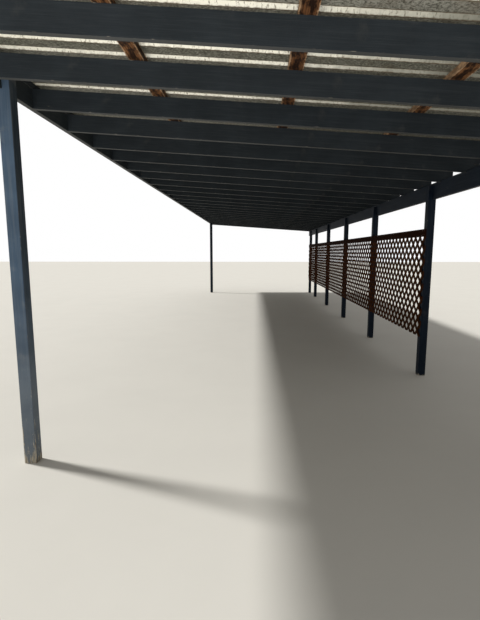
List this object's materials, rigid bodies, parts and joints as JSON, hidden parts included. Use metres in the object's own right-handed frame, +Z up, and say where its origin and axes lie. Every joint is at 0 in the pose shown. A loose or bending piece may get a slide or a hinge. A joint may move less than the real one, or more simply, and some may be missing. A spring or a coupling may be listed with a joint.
{
  "type": "carport",
  "caption": "Open timber carport with a low-pitched ribbed metal roof on painted posts, beams and joists, and a diagonal lattice screen along one side.",
  "frame": {"origin": "on the ground, under the middle of the roof", "axes": "+X to the low eave on the lattice side, +Y from the driveway mouth to the back, +Z up"},
  "size_m": [4.04, 15.9896, 2.7923],
  "materials": {
    "painted_post": "matte",
    "painted_beam": "matte",
    "painted_joist": "matte",
    "raw_pine": "rough",
    "roof_metal": "satin",
    "lattice_stain": "matte",
    "rail_stain": "matte"
  },
  "bodies": {
    "root": {"left_post_front": "painted_post", "left_post_back": "painted_post", "right_post_1": "painted_post", "right_post_2": "painted_post", "right_post_3": "painted_post", "right_post_4": "painted_post", "right_post_5": "painted_post", "right_post_6": "painted_post", "right_post_7": "painted_post", "left_beam": "painted_beam", "right_beam": "painted_beam", "joists_1": "painted_joist", "joists_2": "painted_joist", "joists_3": "painted_joist", "joists_4": "painted_joist", "joists_5": "painted_joist", "joists_6": "painted_joist", "joists_7": "painted_joist", "purlin_1": "painted_beam", "purlin_2": "raw_pine", "purlin_3": "raw_pine", "purlin_4": "raw_pine", "purlin_5": "raw_pine", "roof_sheets_1": "roof_metal", "roof_sheets_2": "roof_metal", "roof_sheets_3": "roof_metal", "roof_sheets_4": "roof_metal", "roof_sheets_5": "roof_metal", "roof_sheets_6": "roof_metal", "roof_sheets_7": "roof_metal", "lattice_1": "lattice_stain", "lattice_2": "lattice_stain", "lattice_3": "lattice_stain", "lattice_4": "lattice_stain", "lattice_5": "lattice_stain", "screen_rail_1": "rail_stain", "screen_rail_2": "rail_stain", "screen_rail_3": "rail_stain", "screen_rail_4": "rail_stain", "screen_rail_5": "rail_stain"}
  },
  "joints": []
}
